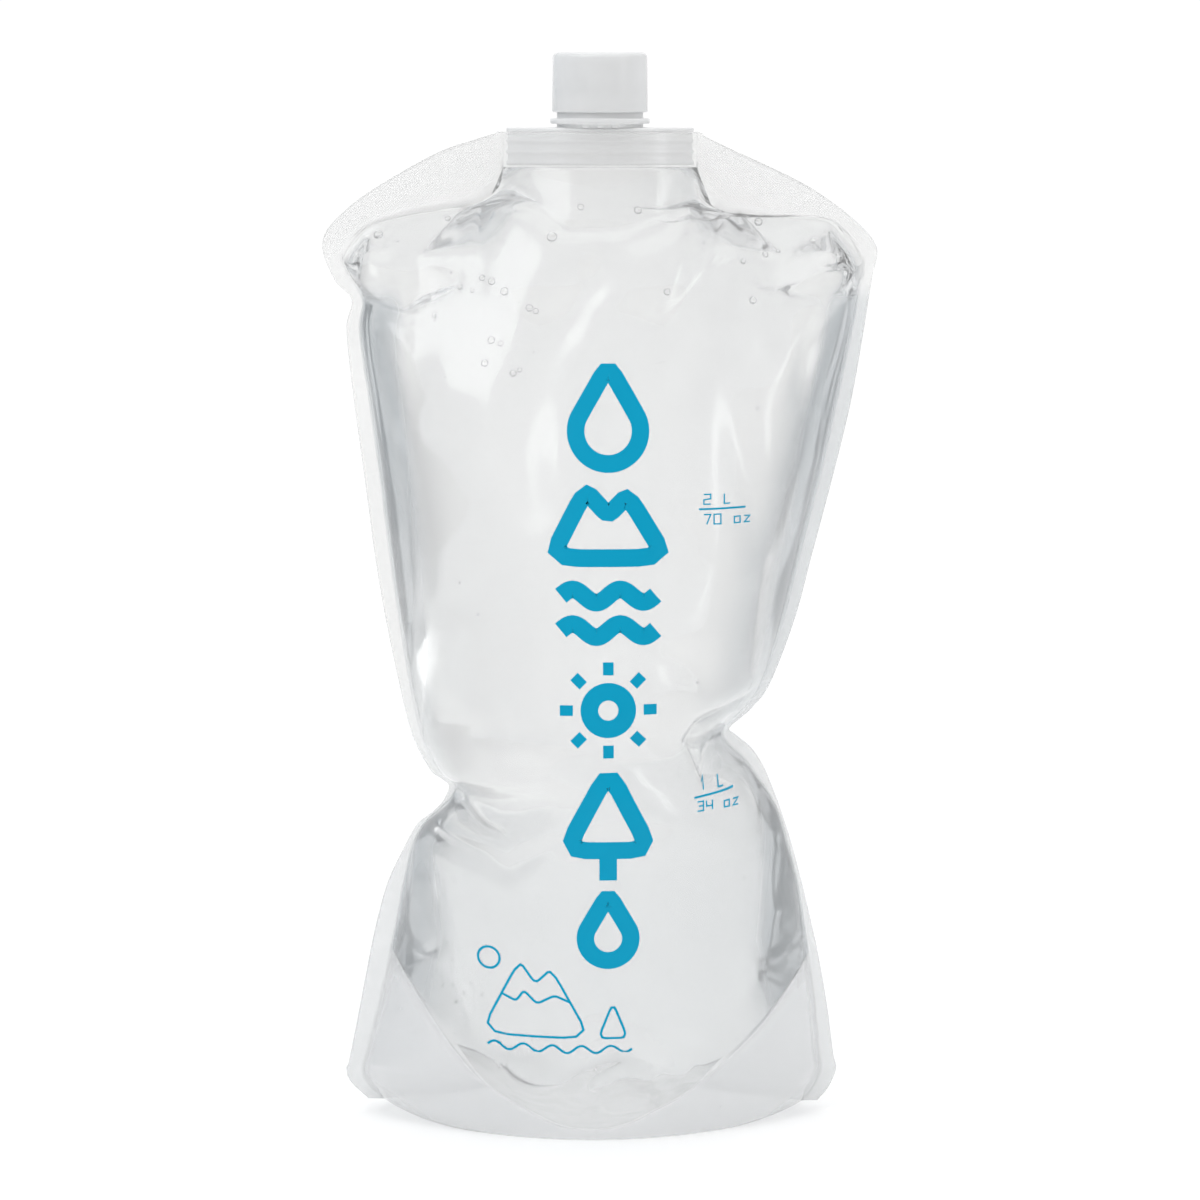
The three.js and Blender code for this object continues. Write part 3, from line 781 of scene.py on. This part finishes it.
class POUCH_OT_stage(bpy.types.Operator):
    """Camera, soft studio light and a plain pale floor"""

    bl_idname = "pouch.stage"
    bl_label = "Stage"

    def execute(self, context):
        settings = context.scene.pouch_stage
        scene = context.scene
        scene.view_settings.view_transform = "Standard"
        camera = bpy.data.objects.new("camera", bpy.data.cameras.new("camera"))
        scene.collection.objects.link(camera)
        camera.data.lens = settings.lens
        camera.data.sensor_width = 36
        camera.location = CAMERA_PLACE
        camera.rotation_euler = (math.radians(90 - CAMERA_DOWN), 0, 0)
        camera.data.clip_start, camera.data.clip_end = 0.05, 60
        scene.camera = camera

        bm = bmesh.new()
        bmesh.ops.create_circle(bm, cap_ends=True, segments=96, radius=FLOOR_RADIUS)
        mesh = bpy.data.meshes.new("floor")
        bm.to_mesh(mesh)
        bm.free()
        floor = bpy.data.objects.new("floor", mesh)
        scene.collection.objects.link(floor)
        floor.location.z = -0.0002
        mesh.materials.append(floor_material(settings))

        for name, place, size, energy in (
            ("key_light", (-1.0, -1.0, 1.2), (0.9, 0.9), 7.0),
            ("fill_light", (1.1, -0.7, 0.6), (0.2, 0.9), 1.5),
        ):
            light = bpy.data.lights.new(name, "AREA")
            light.shape = "RECTANGLE"
            light.size, light.size_y = size
            light.energy = energy
            lamp = bpy.data.objects.new(name, light)
            lamp.location = place
            away = Vector(POUCH_MIDDLE) - Vector(place)
            lamp.rotation_euler = away.to_track_quat("-Z", "Y").to_euler()
            scene.collection.objects.link(lamp)

        sky = bpy.data.lights.new("top_light", "SUN")
        sky.energy = 0.9
        sky.angle = 1.2
        scene.collection.objects.link(bpy.data.objects.new("top_light", sky))

        world = bpy.data.worlds.new("white_surround")
        scene.world = world
        world.use_nodes = True
        nodes, links = world.node_tree.nodes, world.node_tree.links
        nodes.clear()
        coordinate = nodes.new("ShaderNodeTexCoord")
        split = nodes.new("ShaderNodeSeparateXYZ")
        links.new(coordinate.outputs["Generated"], split.inputs["Vector"])
        across = maths(nodes, links, "MULTIPLY_ADD", split.outputs["X"], 0.5, 0.5)
        ramp = nodes.new("ShaderNodeValToRGB")
        stops = ramp.color_ramp.elements
        stops[0].position, stops[1].position = SURROUND[0][0], SURROUND[1][0]
        for position, _ in SURROUND[2:]:
            stops.new(position)
        for stop, (_, colour) in zip(stops, SURROUND):
            stop.color = (*colour, 1)
        links.new(across, ramp.inputs["Fac"])
        facing = nodes.new("ShaderNodeMapRange")
        for name, value in (("From Min", -0.5), ("From Max", 0.15), ("To Min", 0.77), ("To Max", 1)):
            facing.inputs[name].default_value = value
        links.new(split.outputs["Y"], facing.inputs["Value"])
        strength = maths(nodes, links, "MULTIPLY", facing.outputs["Result"], settings.light)
        surround = nodes.new("ShaderNodeBackground")
        links.new(ramp.outputs["Color"], surround.inputs["Color"])
        links.new(strength, surround.inputs["Strength"])
        # Behind the pouch the eye sees plain white.
        white = shader_node(
            nodes, "ShaderNodeBackground", Color=(1, 1, 1), Strength=settings.light
        )
        ray = nodes.new("ShaderNodeLightPath").outputs["Is Camera Ray"]
        light = mixed_shader(nodes, links, ray, surround, white)
        output = nodes.new("ShaderNodeOutputWorld")
        links.new(light.outputs[0], output.inputs["Surface"])
        return {"FINISHED"}


class POUCH_OT_panels(bpy.types.Operator):
    """Front and back film sheets with their seals and creases"""

    bl_idname = "pouch.panels"
    bl_label = "Film panels"

    def execute(self, context):
        settings = context.scene.pouch_film
        material = film_material(settings)
        for name, side in (("film_front", -1), ("film_back", 1)):
            points = panel_grid(side)
            bm = bmesh.new()
            lay_grid(bm, points if side < 0 else points[:, ::-1])
            piece = new_piece(name, bm, POUCH)
            piece.data.materials.append(material)
            mask = np.zeros(points.shape[:2])
            mask[SKIRT_ROWS:, :FLANGE_COLUMNS] = 1
            mask[SKIRT_ROWS:, -FLANGE_COLUMNS:] = 1
            mask *= smooth(points[..., 2], 0.255, 0.285)
            rim = np.zeros(points.shape[:2])
            rim[:, :2] = rim[:, -2:] = 1
            rim[-1:, :] = 1
            turned = slice(None, None, -side)
            add_attribute(piece, "seal", mask[:, turned])
            # Painted shade along the welds, on the right seal, low down and on the skirts, for the
            # film to read.
            add_attribute(piece, "painted_shade", painted_edge_shade(points)[:, turned])
            add_attribute(piece, "rim", rim[:, turned])
            solid = piece.modifiers.new("film", "SOLIDIFY")
            solid.thickness = settings.film_thickness
            solid.offset = 1
            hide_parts("front_panel" if side < 0 else "back_panel")
        return {"FINISHED"}


class POUCH_OT_gusset(bpy.types.Operator):
    """Bottom film sheet, folded up between the panels and welded inside their skirts"""

    bl_idname = "pouch.gusset"
    bl_label = "Bottom gusset"

    def execute(self, context):
        inset = 0.35 * MM
        edge = 2  # columns left free next to each side weld
        front = body_grid(-1)[: SKIRT_ROWS + 1].copy()
        back = body_grid(1)[: SKIRT_ROWS + 1].copy()
        front[..., 1] += inset
        back[..., 1] -= inset
        cross = gusset_cross()[1:-1].copy()
        cross[..., 2] -= 0.1 * MM
        points = np.concatenate([front, cross, back[::-1]])[:, edge:-edge]
        bm = bmesh.new()
        lay_grid(bm, points)
        piece = new_piece("film_gusset", bm, POUCH)
        piece.data.materials.append(bpy.data.materials["clear_film"])
        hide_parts("bottom_gusset")
        return {"FINISHED"}


class POUCH_OT_water(bpy.types.Operator):
    """The water that fills the pouch"""

    bl_idname = "pouch.water"
    bl_label = "Water"

    def execute(self, context):
        settings = context.scene.pouch_film
        last = SKIRT_ROWS + BODY_ROWS
        front = body_grid(-1)[SKIRT_ROWS : last + 1]
        back = body_grid(1)[SKIRT_ROWS : last + 1]
        points = np.concatenate([front[::-1], gusset_cross()[1:-1], back])
        bm = bmesh.new()
        lay_grid(bm, points)
        bmesh.ops.remove_doubles(bm, verts=bm.verts, dist=1e-5)
        bmesh.ops.dissolve_degenerate(bm, edges=bm.edges, dist=1e-6)
        rim = [e for e in bm.edges if e.is_boundary]
        bmesh.ops.holes_fill(bm, edges=rim, sides=0)
        bmesh.ops.triangulate(bm, faces=[f for f in bm.faces if len(f.verts) > 4])
        face_out(bm)
        bm.normal_update()
        for vert in bm.verts:
            vert.co -= vert.normal * 0.12 * MM
        piece = new_piece("water", bm, POUCH)
        piece.data.materials.append(water_material(settings))
        return {"FINISHED"}


BUBBLES = [
    (-70, 281, 1.1), (-37, 268, 0.8), (-34, 267, 0.9), (-30, 264, 1.0), (-22, 259, 0.9),
    (-20, 258, 0.7), (-34, 249, 0.9), (-31, 248, 0.7), (-36, 242, 0.9), (-27, 239, 0.8),
    (-25, 240, 0.6), (-15, 281, 1.2), (-44, 265, 0.7), (-40, 264, 0.6), (50, 285, 1.0),
    (52, 275, 0.8), (48, 261, 0.9), (45, 273, 0.7), (21, 264, 0.8), (67, 279, 0.9),
    (56, 276, 0.6), (-48, 286, 0.7), (12, 289, 0.9), (-6, 290, 0.8), (-52, 256, 0.6),
]


class POUCH_OT_bubbles(bpy.types.Operator):
    """Air bubbles that cling to the inside of the front film"""

    bl_idname = "pouch.bubbles"
    bl_label = "Bubbles"

    def execute(self, context):
        tree = front_tree()
        bm = bmesh.new()
        spots = [(x, z, r, 2) for x, z, r in BUBBLES]
        for number in range(170):
            left = noise.cell(Vector((number, 1.5, 0))) < 0.55
            across = noise.cell(Vector((number, 7.5, 0)))
            up = noise.cell(Vector((number, 13.5, 0)))
            size = 0.16 + 0.3 * noise.cell(Vector((number, 23.5, 0))) ** 2
            if number < 110:
                x = -52 + 18 * across if left else 40 + 16 * across
                z = 28 + 56 * up
            else:
                x = -58 + 114 * across
                z = 205 + 78 * up
            spots.append((x, z, size, 1))
        for x, z, radius, detail in spots:
            place, normal = on_front(tree, x, z)
            if place is None:
                continue
            centre = place - normal * (0.1 + 0.6 * radius) * MM
            made = bmesh.ops.create_icosphere(bm, subdivisions=detail, radius=1.4 * radius * MM)
            bmesh.ops.scale(bm, vec=(1, 0.5, 1), verts=made["verts"])
            bmesh.ops.translate(bm, vec=centre, verts=made["verts"])
        piece = new_piece("bubbles", bm, POUCH)
        piece.data.materials.append(bubble_material())
        return {"FINISHED"}


def wave(x0, x1, z, height, count):
    """A wavy line of half waves between two places."""
    steps = np.linspace(0, 1, 8 * count + 1)
    return [(x0 + (x1 - x0) * s, z + height * math.sin(math.pi * count * s)) for s in steps]


def ring(x, z, radius, first=0.0, last=360.0):
    turns = np.radians(np.linspace(first, last, 28))
    return [(x + radius * math.cos(t), z + radius * math.sin(t)) for t in turns]


def drop(x, z, radius, tall):
    """The outline of a drop of water with its point upwards."""
    lower = ring(x, z, radius, 155, 385)
    return [(x, z + tall), *lower, (x, z + tall)]


def closed(points):
    return [*points, points[0]]


def rays(x, z, inner, outer, count):
    """Short spokes round a centre."""
    turns = [2 * math.pi * i / count for i in range(count)]
    return [
        [(x + r * math.cos(t), z + r * math.sin(t)) for r in (inner, outer)] for t in turns
    ]


# The broad graphic that runs down the middle, then the fine outline graphic, the level lines
# and their marks: all in millimetres as x and z.
BROAD_STROKES = [
    drop(2.5, 221.5, 10, 20),
    closed([(-15, 183), (-4.5, 203.5), (2.5, 196), (8.5, 202), (20, 183)]),
    wave(-12, 17, 171.5, 2, 4),
    wave(-12, 17, 161, 2, 4),
    ring(2.5, 136.5, 5.8),
    closed([(-10.5, 93), (2.5, 118), (15.5, 93)]),
    [(2.5, 90.5), (2.5, 83.5)],
    drop(2.5, 65, 7, 14),
]
MEDIUM_STROKES = rays(2.5, 136.5, 10.8, 14.8, 8)
FINE_STROKES = [
    closed([(-37, 33), (-25, 57), (-20, 50), (-15, 55), (-3, 33)]),
    [(-30.5, 46), (-26, 44), (-23.5, 47.5), (-19.5, 43.5), (-14, 46.5), (-9.5, 44.5)],
    wave(-35, 10, 29.2, 1.2, 10),
    ring(-34.5, 57, 3.4),
    closed([(-0.5, 33), (4, 44.5), (8.5, 33)]),
]
LEVEL_LINES = [[(30.5, 197.3), (45, 197.3)], [(29, 107.6), (41.5, 108.4)]]
GLYPHS = {
    "0": [[(0, 0), (0, 1), (0.7, 1), (0.7, 0), (0, 0)]],
    "1": [[(0.1, 0.8), (0.35, 1), (0.35, 0)]],
    "2": [[(0, 1), (0.7, 1), (0.7, 0.55), (0, 0.45), (0, 0), (0.7, 0)]],
    "3": [[(0, 1), (0.7, 1), (0.7, 0), (0, 0)], [(0.15, 0.52), (0.7, 0.52)]],
    "4": [[(0, 1), (0, 0.42), (0.7, 0.42)], [(0.7, 1), (0.7, 0)]],
    "7": [[(0, 1), (0.7, 1), (0.3, 0)]],
    "L": [[(0, 1), (0, 0), (0.6, 0)]],
    "o": [[(0, 0), (0, 0.65), (0.6, 0.65), (0.6, 0), (0, 0)]],
    "z": [[(0, 0.65), (0.6, 0.65), (0, 0), (0.6, 0)]],
}


def mark(text, x, z, size):
    """Strokes of a level mark whose first character stands at x and z."""
    strokes = []
    for character in text:
        for stroke in GLYPHS.get(character, []):
            strokes.append([(x + px * size, z + pz * size) for px, pz in stroke])
        x += size * 1.05
    return strokes


def rounded(stroke):
    """The stroke with its corners cut round; a closed stroke stays closed."""
    line = np.array(stroke, float)
    loop = np.allclose(line[0], line[-1])
    for _ in range(2):
        first, second = line[:-1], line[1:]
        cut = np.stack([first * 0.86 + second * 0.14, first * 0.14 + second * 0.86], axis=1)
        cut = cut.reshape(-1, 2)
        ends = (cut, cut[:1]) if loop else (line[:1], cut[1:-1], line[-1:])
        line = np.concatenate(ends)
    return line


def lay_stroke(bm, tree, stroke, width, across, outward):
    """A ribbon along a stroke, laid on the front film just outside it."""
    line = np.array(stroke, float)
    steps = np.linalg.norm(np.diff(line, axis=0), axis=1)
    closed = np.allclose(line[0], line[-1])
    fine = [line[0]]
    for first, second, length in zip(line[:-1], line[1:], steps):
        count = max(1, math.ceil(length / 1.2))
        fine.extend(first + (second - first) * (i / count) for i in range(1, count + 1))
    fine = np.array(fine)
    ahead = np.roll(fine, -1, axis=0) - fine
    behind = fine - np.roll(fine, 1, axis=0)
    if closed:
        ahead[-1] = fine[1] - fine[0]
        behind[0] = fine[-1] - fine[-2]
    else:
        ahead[-1], behind[0] = behind[-1], ahead[0]
    ahead /= np.linalg.norm(ahead, axis=1, keepdims=True)
    behind /= np.linalg.norm(behind, axis=1, keepdims=True)
    along = ahead + behind
    along /= np.linalg.norm(along, axis=1, keepdims=True)
    sideways = np.stack([-along[:, 1], along[:, 0]], axis=1)
    mitre = 1 / np.clip(np.abs((along * ahead).sum(axis=1)), 0.55, 1)
    rows = []
    for share in np.linspace(-0.5, 0.5, across + 1):
        rows.append(fine + sideways * (share * width * mitre)[:, None])
    verts = []
    for row in rows:
        made = []
        for x, z in row:
            place, normal = on_front(tree, x, z)
            made.append(bm.verts.new(place + normal * outward))
        verts.append(made)
    for lower, upper in zip(verts[:-1], verts[1:]):
        for i in range(len(lower) - 1):
            bm.faces.new((lower[i], upper[i], upper[i + 1], lower[i + 1]))


class POUCH_OT_print(bpy.types.Operator):
    """The printed graphics and level marks on the front film"""

    bl_idname = "pouch.print"
    bl_label = "Print"

    def execute(self, context):
        settings = context.scene.pouch_print
        tree = front_tree()
        outward = context.scene.pouch_film.film_thickness + 0.2 * MM
        bm = bmesh.new()
        for stroke in BROAD_STROKES:
            lay_stroke(bm, tree, rounded(stroke), settings.bold / MM, 5, outward)
        for stroke in MEDIUM_STROKES:
            lay_stroke(bm, tree, stroke, settings.bold / MM * 0.6, 3, outward)
        for stroke in FINE_STROKES:
            lay_stroke(bm, tree, rounded(stroke), settings.fine / MM, 1, outward)
        for stroke in LEVEL_LINES:
            lay_stroke(bm, tree, stroke, 0.6, 1, outward)
        marks = (
            mark("2 L", 32, 198.8, 3) + mark("70 oz", 32, 192.6, 3)
            + mark("1 L", 31, 109.4, 2.7) + mark("34 oz", 30, 103.6, 2.7)
        )
        for stroke in marks:
            lay_stroke(bm, tree, stroke, 0.42, 1, outward)
        piece = new_piece("print", bm, POUCH)
        piece.data.materials.append(plain_material("ink", settings.ink, 0.35))
        return {"FINISHED"}


@lru_cache(maxsize=None)
def front_tree():
    """The front film's inner face, for laying things on it."""
    points = body_grid(-1)
    rows, columns = points.shape[:2]
    faces = []
    for row in range(rows - 1):
        for column in range(columns - 1):
            corner = row * columns + column
            faces.append((corner, corner + 1, corner + columns + 1, corner + columns))
    return BVHTree.FromPolygons([tuple(p) for p in points.reshape(-1, 3)], faces)


def on_front(tree, x, z):
    """The place and the outward normal on the front film at x and z in millimetres."""
    place, normal, _, _ = tree.ray_cast(Vector((x * MM, -0.5, z * MM)), Vector((0, 1, 0)))
    if place is not None and normal.y > 0:
        normal = -normal
    return place, normal


def helix_ridge(bm, root, crest, middle_top, turns, settings, inward=False):
    """A tapering thread ridge that ends at the height middle_top."""
    steps = int(turns * 60)
    profile = ((root, -0.85), (crest, -0.35), (crest, 0.35), (root, 0.85))
    sections = []
    for step in range(steps + 1):
        turn = step / 60
        taper = min(1, turn / 0.2, (turns - turn) / 0.2)
        taper = max(taper, 0.02)
        angle = 2 * math.pi * turn
        z = middle_top - settings.pitch * (turns - turn)
        section = []
        for radius, rise in profile:
            reach = root + (radius - root) * taper
            place = (reach * math.cos(angle), reach * math.sin(angle), z + rise * MM * taper)
            section.append(bm.verts.new(place))
        sections.append(section)
    for first, second in zip(sections[:-1], sections[1:]):
        for i in range(4):
            j = (i + 1) % 4
            bm.faces.new((first[i], first[j], second[j], second[i]))
    bm.faces.new(sections[0])
    bm.faces.new(sections[-1][::-1])


def boat_ring(half_length, half_depth, z, sides):
    """A level outline of the weld body, pointed at both ends."""
    turns = np.linspace(0, 2 * math.pi, sides + 1)[:-1]
    x = half_length * np.cos(turns)
    y = half_depth * np.sin(turns) * np.abs(np.sin(turns))
    return np.stack([x, y, np.full(sides, z)], axis=1)


def circle_ring(radius, z, sides):
    turns = np.linspace(0, 2 * math.pi, sides + 1)[:-1]
    return np.stack([radius * np.cos(turns), radius * np.sin(turns), np.full(sides, z)], axis=1)


class POUCH_OT_spout(bpy.types.Operator):
    """Moulded spout: ribbed boat-shaped weld body, collar, ring and threaded neck"""

    bl_idname = "pouch.spout"
    bl_label = "Spout"

    def execute(self, context):
        settings = context.scene.pouch_spout
        sides = 128
        length = (SPOUT_HIGH.x - SPOUT_LOW.x) / 2
        bottom, mouth = SPOUT_LOW.z, SPOUT_HIGH.z
        depth = settings.bore / 2 + 1.75 * MM
        top = bottom + 11.7 * MM
        neck, bore = settings.neck / 2, settings.bore / 2
        collar = neck + 1.15 * MM
        reach = collar + 2.1 * MM
        under = top + 1.2 * MM
        rings = [circle_ring(bore, bottom, sides)]
        ribs = 4
        step = (top - bottom - 1.4 * MM) / (ribs - 1)
        for rib in range(ribs):
            low = bottom + rib * step
            for inset, z in ((0.45, 0), (0, 0.25), (0, 1.15), (0.45, 1.4)):
                if rib == 0 and z == 0:
                    inset = 0.2
                inset *= MM
                rings.append(boat_ring(length - inset, depth - inset, low + z * MM, sides))
        last = rings[-1]
        flare = last.copy()
        flare[:, 2] = top
        radius = np.hypot(flare[:, 0], flare[:, 1])
        grow = np.maximum(1, collar / radius)[:, None]
        flare[:, :2] *= grow
        rings.append(flare)
        for radius, z in (
            (collar, top),
            (collar, under - 0.15 * MM),
            (collar + 0.15 * MM, under),
            (reach - 0.35 * MM, under),
            (reach, under + 0.35 * MM),
            (reach, under + 1.35 * MM),
            (reach - 0.35 * MM, under + 1.7 * MM),
            (collar + 0.15 * MM, under + 1.7 * MM),
            (collar, under + 1.85 * MM),
            (collar, top + 5.5 * MM),
            (neck, top + 6.7 * MM),
            (neck, mouth - 0.4 * MM),
            (neck - 0.4 * MM, mouth),
            (bore + 0.3 * MM, mouth),
            (bore, mouth - 0.3 * MM),
        ):
            rings.append(circle_ring(radius, z, sides))
        rings.append(rings[0])
        points = np.array(rings)
        points = np.concatenate([points, points[:, :1]], axis=1)
        bm = bmesh.new()
        lay_grid(bm, points)
        bmesh.ops.remove_doubles(bm, verts=bm.verts, dist=2e-6)
        helix_ridge(
            bm, neck - 0.2 * MM, neck + 1.25 * MM, mouth - 3.4 * MM, 1.75, settings
        )
        face_out(bm)
        piece = new_piece("spout_moulding", bm, POUCH)
        piece.data.materials.append(
            moulded_material("moulded_spout", settings.colour, 0.7, 0.3)
        )
        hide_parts("spout")
        return {"FINISHED"}


class POUCH_OT_cap(bpy.types.Operator):
    """Screw cap with its inner thread, and the foam disc that seals the mouth"""

    bl_idname = "pouch.cap"
    bl_label = "Cap"

    def execute(self, context):
        settings = context.scene.pouch_spout
        outer = (CAP_HIGH.x - CAP_LOW.x) / 2
        low, high = CAP_LOW.z, CAP_HIGH.z
        inner = outer - 1.1 * MM
        ceiling = high - 1.5 * MM
        upper = outer - 0.25 * MM
        profile = [(inner + 0.2 * MM, low), (outer - 0.3 * MM, low), (outer, low + 0.35 * MM)]
        profile += [(outer - 0.1 * MM, low + 9 * MM)]
        for turn in np.radians(np.linspace(0, 90, 9)):
            corner = 1.8 * MM
            profile.append(
                (upper - corner + corner * math.cos(turn), high - corner + corner * math.sin(turn))
            )
        profile += [(3 * MM, high), (0, high), (0, ceiling), (inner - 0.6 * MM, ceiling)]
        profile += [(inner, ceiling - 0.6 * MM), (inner, low + 0.2 * MM)]
        bm = bmesh.new()
        spin_profile(bm, profile, 128)
        helix_ridge(
            bm,
            inner + 0.2 * MM,
            settings.neck / 2 + 0.45 * MM,
            SPOUT_HIGH.z - 3.4 * MM - settings.pitch / 2,
            1.75,
            settings,
        )
        face_out(bm)
        piece = new_piece("cap_moulding", bm, CAP)
        piece.data.materials.append(moulded_material("moulded_cap", settings.colour, 0.62, 0.2))
        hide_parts("screw_cap")

        radius = (DISC_HIGH.x - DISC_LOW.x) / 2
        z0, z1 = DISC_LOW.z, DISC_HIGH.z
        soft = 0.25 * MM
        profile = [(0, z0), (radius - soft, z0), (radius, z0 + soft), (radius, z1 - soft)]
        profile += [(radius - soft, z1), (0, z1)]
        bm = bmesh.new()
        spin_profile(bm, profile, 96)
        face_out(bm)
        piece = new_piece("foam_disc", bm, LINER)
        piece.data.materials.append(plain_material("foam_disc", (0.86, 0.86, 0.85), 0.7))
        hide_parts("sealing_disc")
        return {"FINISHED"}


class POUCH_PT_panel(bpy.types.Panel):
    """The pouch's pieces, one button each"""

    bl_label = "Pouch"
    bl_idname = "POUCH_PT_panel"
    bl_space_type = "VIEW_3D"
    bl_region_type = "UI"
    bl_category = "Pouch"

    def draw(self, context):
        for operator in OPERATORS:
            self.layout.operator(operator.bl_idname)


OPERATORS = (
    POUCH_OT_stage,
    POUCH_OT_panels,
    POUCH_OT_gusset,
    POUCH_OT_water,
    POUCH_OT_bubbles,
    POUCH_OT_print,
    POUCH_OT_spout,
    POUCH_OT_cap,
)
SETTINGS = {
    "pouch_film": PouchSettings,
    "pouch_print": PrintSettings,
    "pouch_spout": SpoutSettings,
    "pouch_stage": StageSettings,
}


def register():
    for settings in SETTINGS.values():
        bpy.utils.register_class(settings)
    for operator in OPERATORS:
        bpy.utils.register_class(operator)
    bpy.utils.register_class(POUCH_PT_panel)
    for name, settings in SETTINGS.items():
        setattr(bpy.types.Scene, name, bpy.props.PointerProperty(type=settings))


def unregister():
    for name in SETTINGS:
        delattr(bpy.types.Scene, name)
    bpy.utils.unregister_class(POUCH_PT_panel)
    for operator in reversed(OPERATORS):
        bpy.utils.unregister_class(operator)
    for settings in reversed(SETTINGS.values()):
        bpy.utils.unregister_class(settings)


def main():
    register()
    bpy.ops.pouch.stage()
    bpy.ops.pouch.panels()
    bpy.ops.pouch.gusset()
    bpy.ops.pouch.water()
    bpy.ops.pouch.bubbles()
    bpy.ops.pouch.print()
    bpy.ops.pouch.spout()
    bpy.ops.pouch.cap()


if __name__ == "__main__":
    main()
